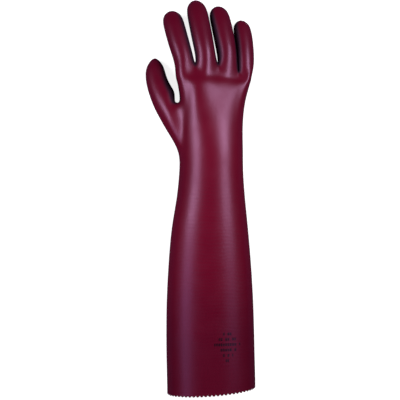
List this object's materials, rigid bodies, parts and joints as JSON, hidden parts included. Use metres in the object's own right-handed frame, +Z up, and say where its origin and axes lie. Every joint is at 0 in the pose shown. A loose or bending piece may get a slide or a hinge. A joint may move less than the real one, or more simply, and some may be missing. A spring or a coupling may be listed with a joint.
{
  "type": "pvc coated work glove",
  "caption": "Shoulder-length PVC coated work glove for the right hand: a seamless shell with a pinked hem, lying palm down.",
  "frame": {"origin": "on the surface that the glove lies on, under the middle of its bounding box", "axes": "+Y from the hem to the fingertips, +X from the thumb to the little finger, +Z up, away from the surface"},
  "size_m": [0.1676, 0.6, 0.0823],
  "materials": {
    "pvc_coating": "satin coat over knitted cotton"
  },
  "bodies": {
    "root": {"glove": "pvc_coating"}
  },
  "joints": []
}
